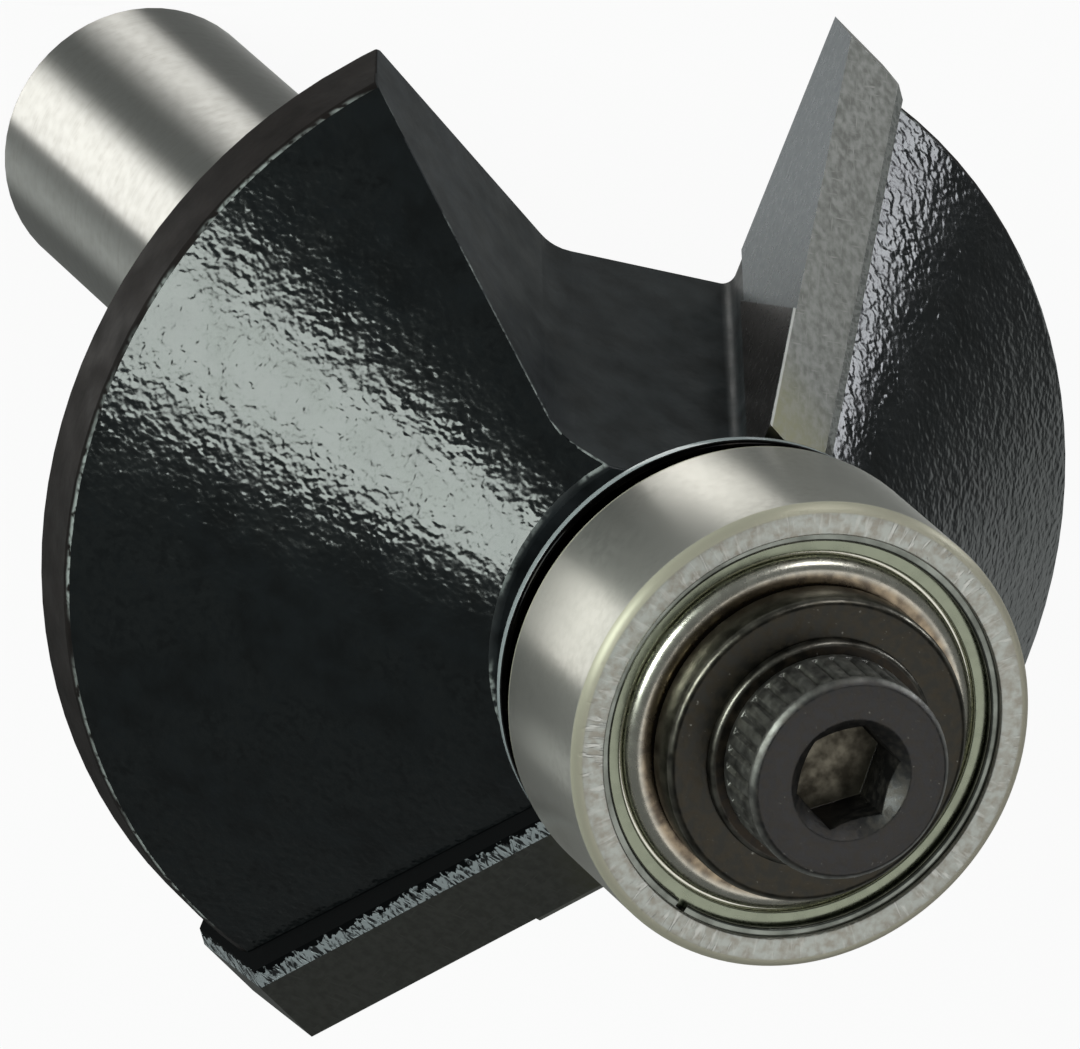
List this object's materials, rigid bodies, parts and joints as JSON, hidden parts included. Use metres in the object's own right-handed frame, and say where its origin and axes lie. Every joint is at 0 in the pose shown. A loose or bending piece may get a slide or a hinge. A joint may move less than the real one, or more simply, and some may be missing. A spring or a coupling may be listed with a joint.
{
  "type": "chamfer router bit",
  "caption": "Chamfer router bit with a round shank, a conical two-wing head, brazed carbide tips and a ball bearing guide held on the nose by a cap screw.",
  "frame": {"origin": "centre of the shank's end face", "axes": "+Z along the shank towards the nose, +X square to the cutting edge of a tip, the other tip half a turn round"},
  "size_m": [0.0284, 0.0302, 0.0548],
  "materials": {
    "enamel": "gloss",
    "carbide": "ground",
    "braze": "rough",
    "bearing_steel": "ground",
    "ball_steel": "polished",
    "cage_brass": "pressed",
    "blackened_steel": "blackened"
  },
  "bodies": {
    "cutter": {"cutter_body": "enamel", "carbide_tip_1": "carbide", "carbide_tip_2": "carbide", "braze_seam_1": "braze", "braze_seam_2": "braze", "dust_disc": "blackened_steel", "bearing_inner_ring": "bearing_steel", "washer": "blackened_steel", "lock_washer": "blackened_steel", "cap_screw": "blackened_steel"},
    "guide_ring": {"bearing_outer_ring": "bearing_steel", "bearing_shield_front": "bearing_steel", "bearing_shield_back": "bearing_steel", "snap_ring_front": "bearing_steel", "snap_ring_back": "bearing_steel"},
    "ball_set": {"bearing_cage": "cage_brass", "bearing_ball_1": "ball_steel", "bearing_ball_2": "ball_steel", "bearing_ball_3": "ball_steel", "bearing_ball_4": "ball_steel", "bearing_ball_5": "ball_steel", "bearing_ball_6": "ball_steel", "bearing_ball_7": "ball_steel"}
  },
  "joints": [
    {"name": "guide_spin", "type": "hinge", "parent": "cutter", "child": "guide_ring", "pos_m": [0, 0, 0.04888], "axis": [0, 0, 1], "continuous": true},
    {"name": "ball_roll", "type": "hinge", "parent": "cutter", "child": "ball_set", "pos_m": [0, 0, 0.04888], "axis": [0, 0, 1], "continuous": true}
  ],
  "couplings": [
    {"joint": "ball_roll", "follows": "guide_spin", "ratio": 0.633}
  ]
}
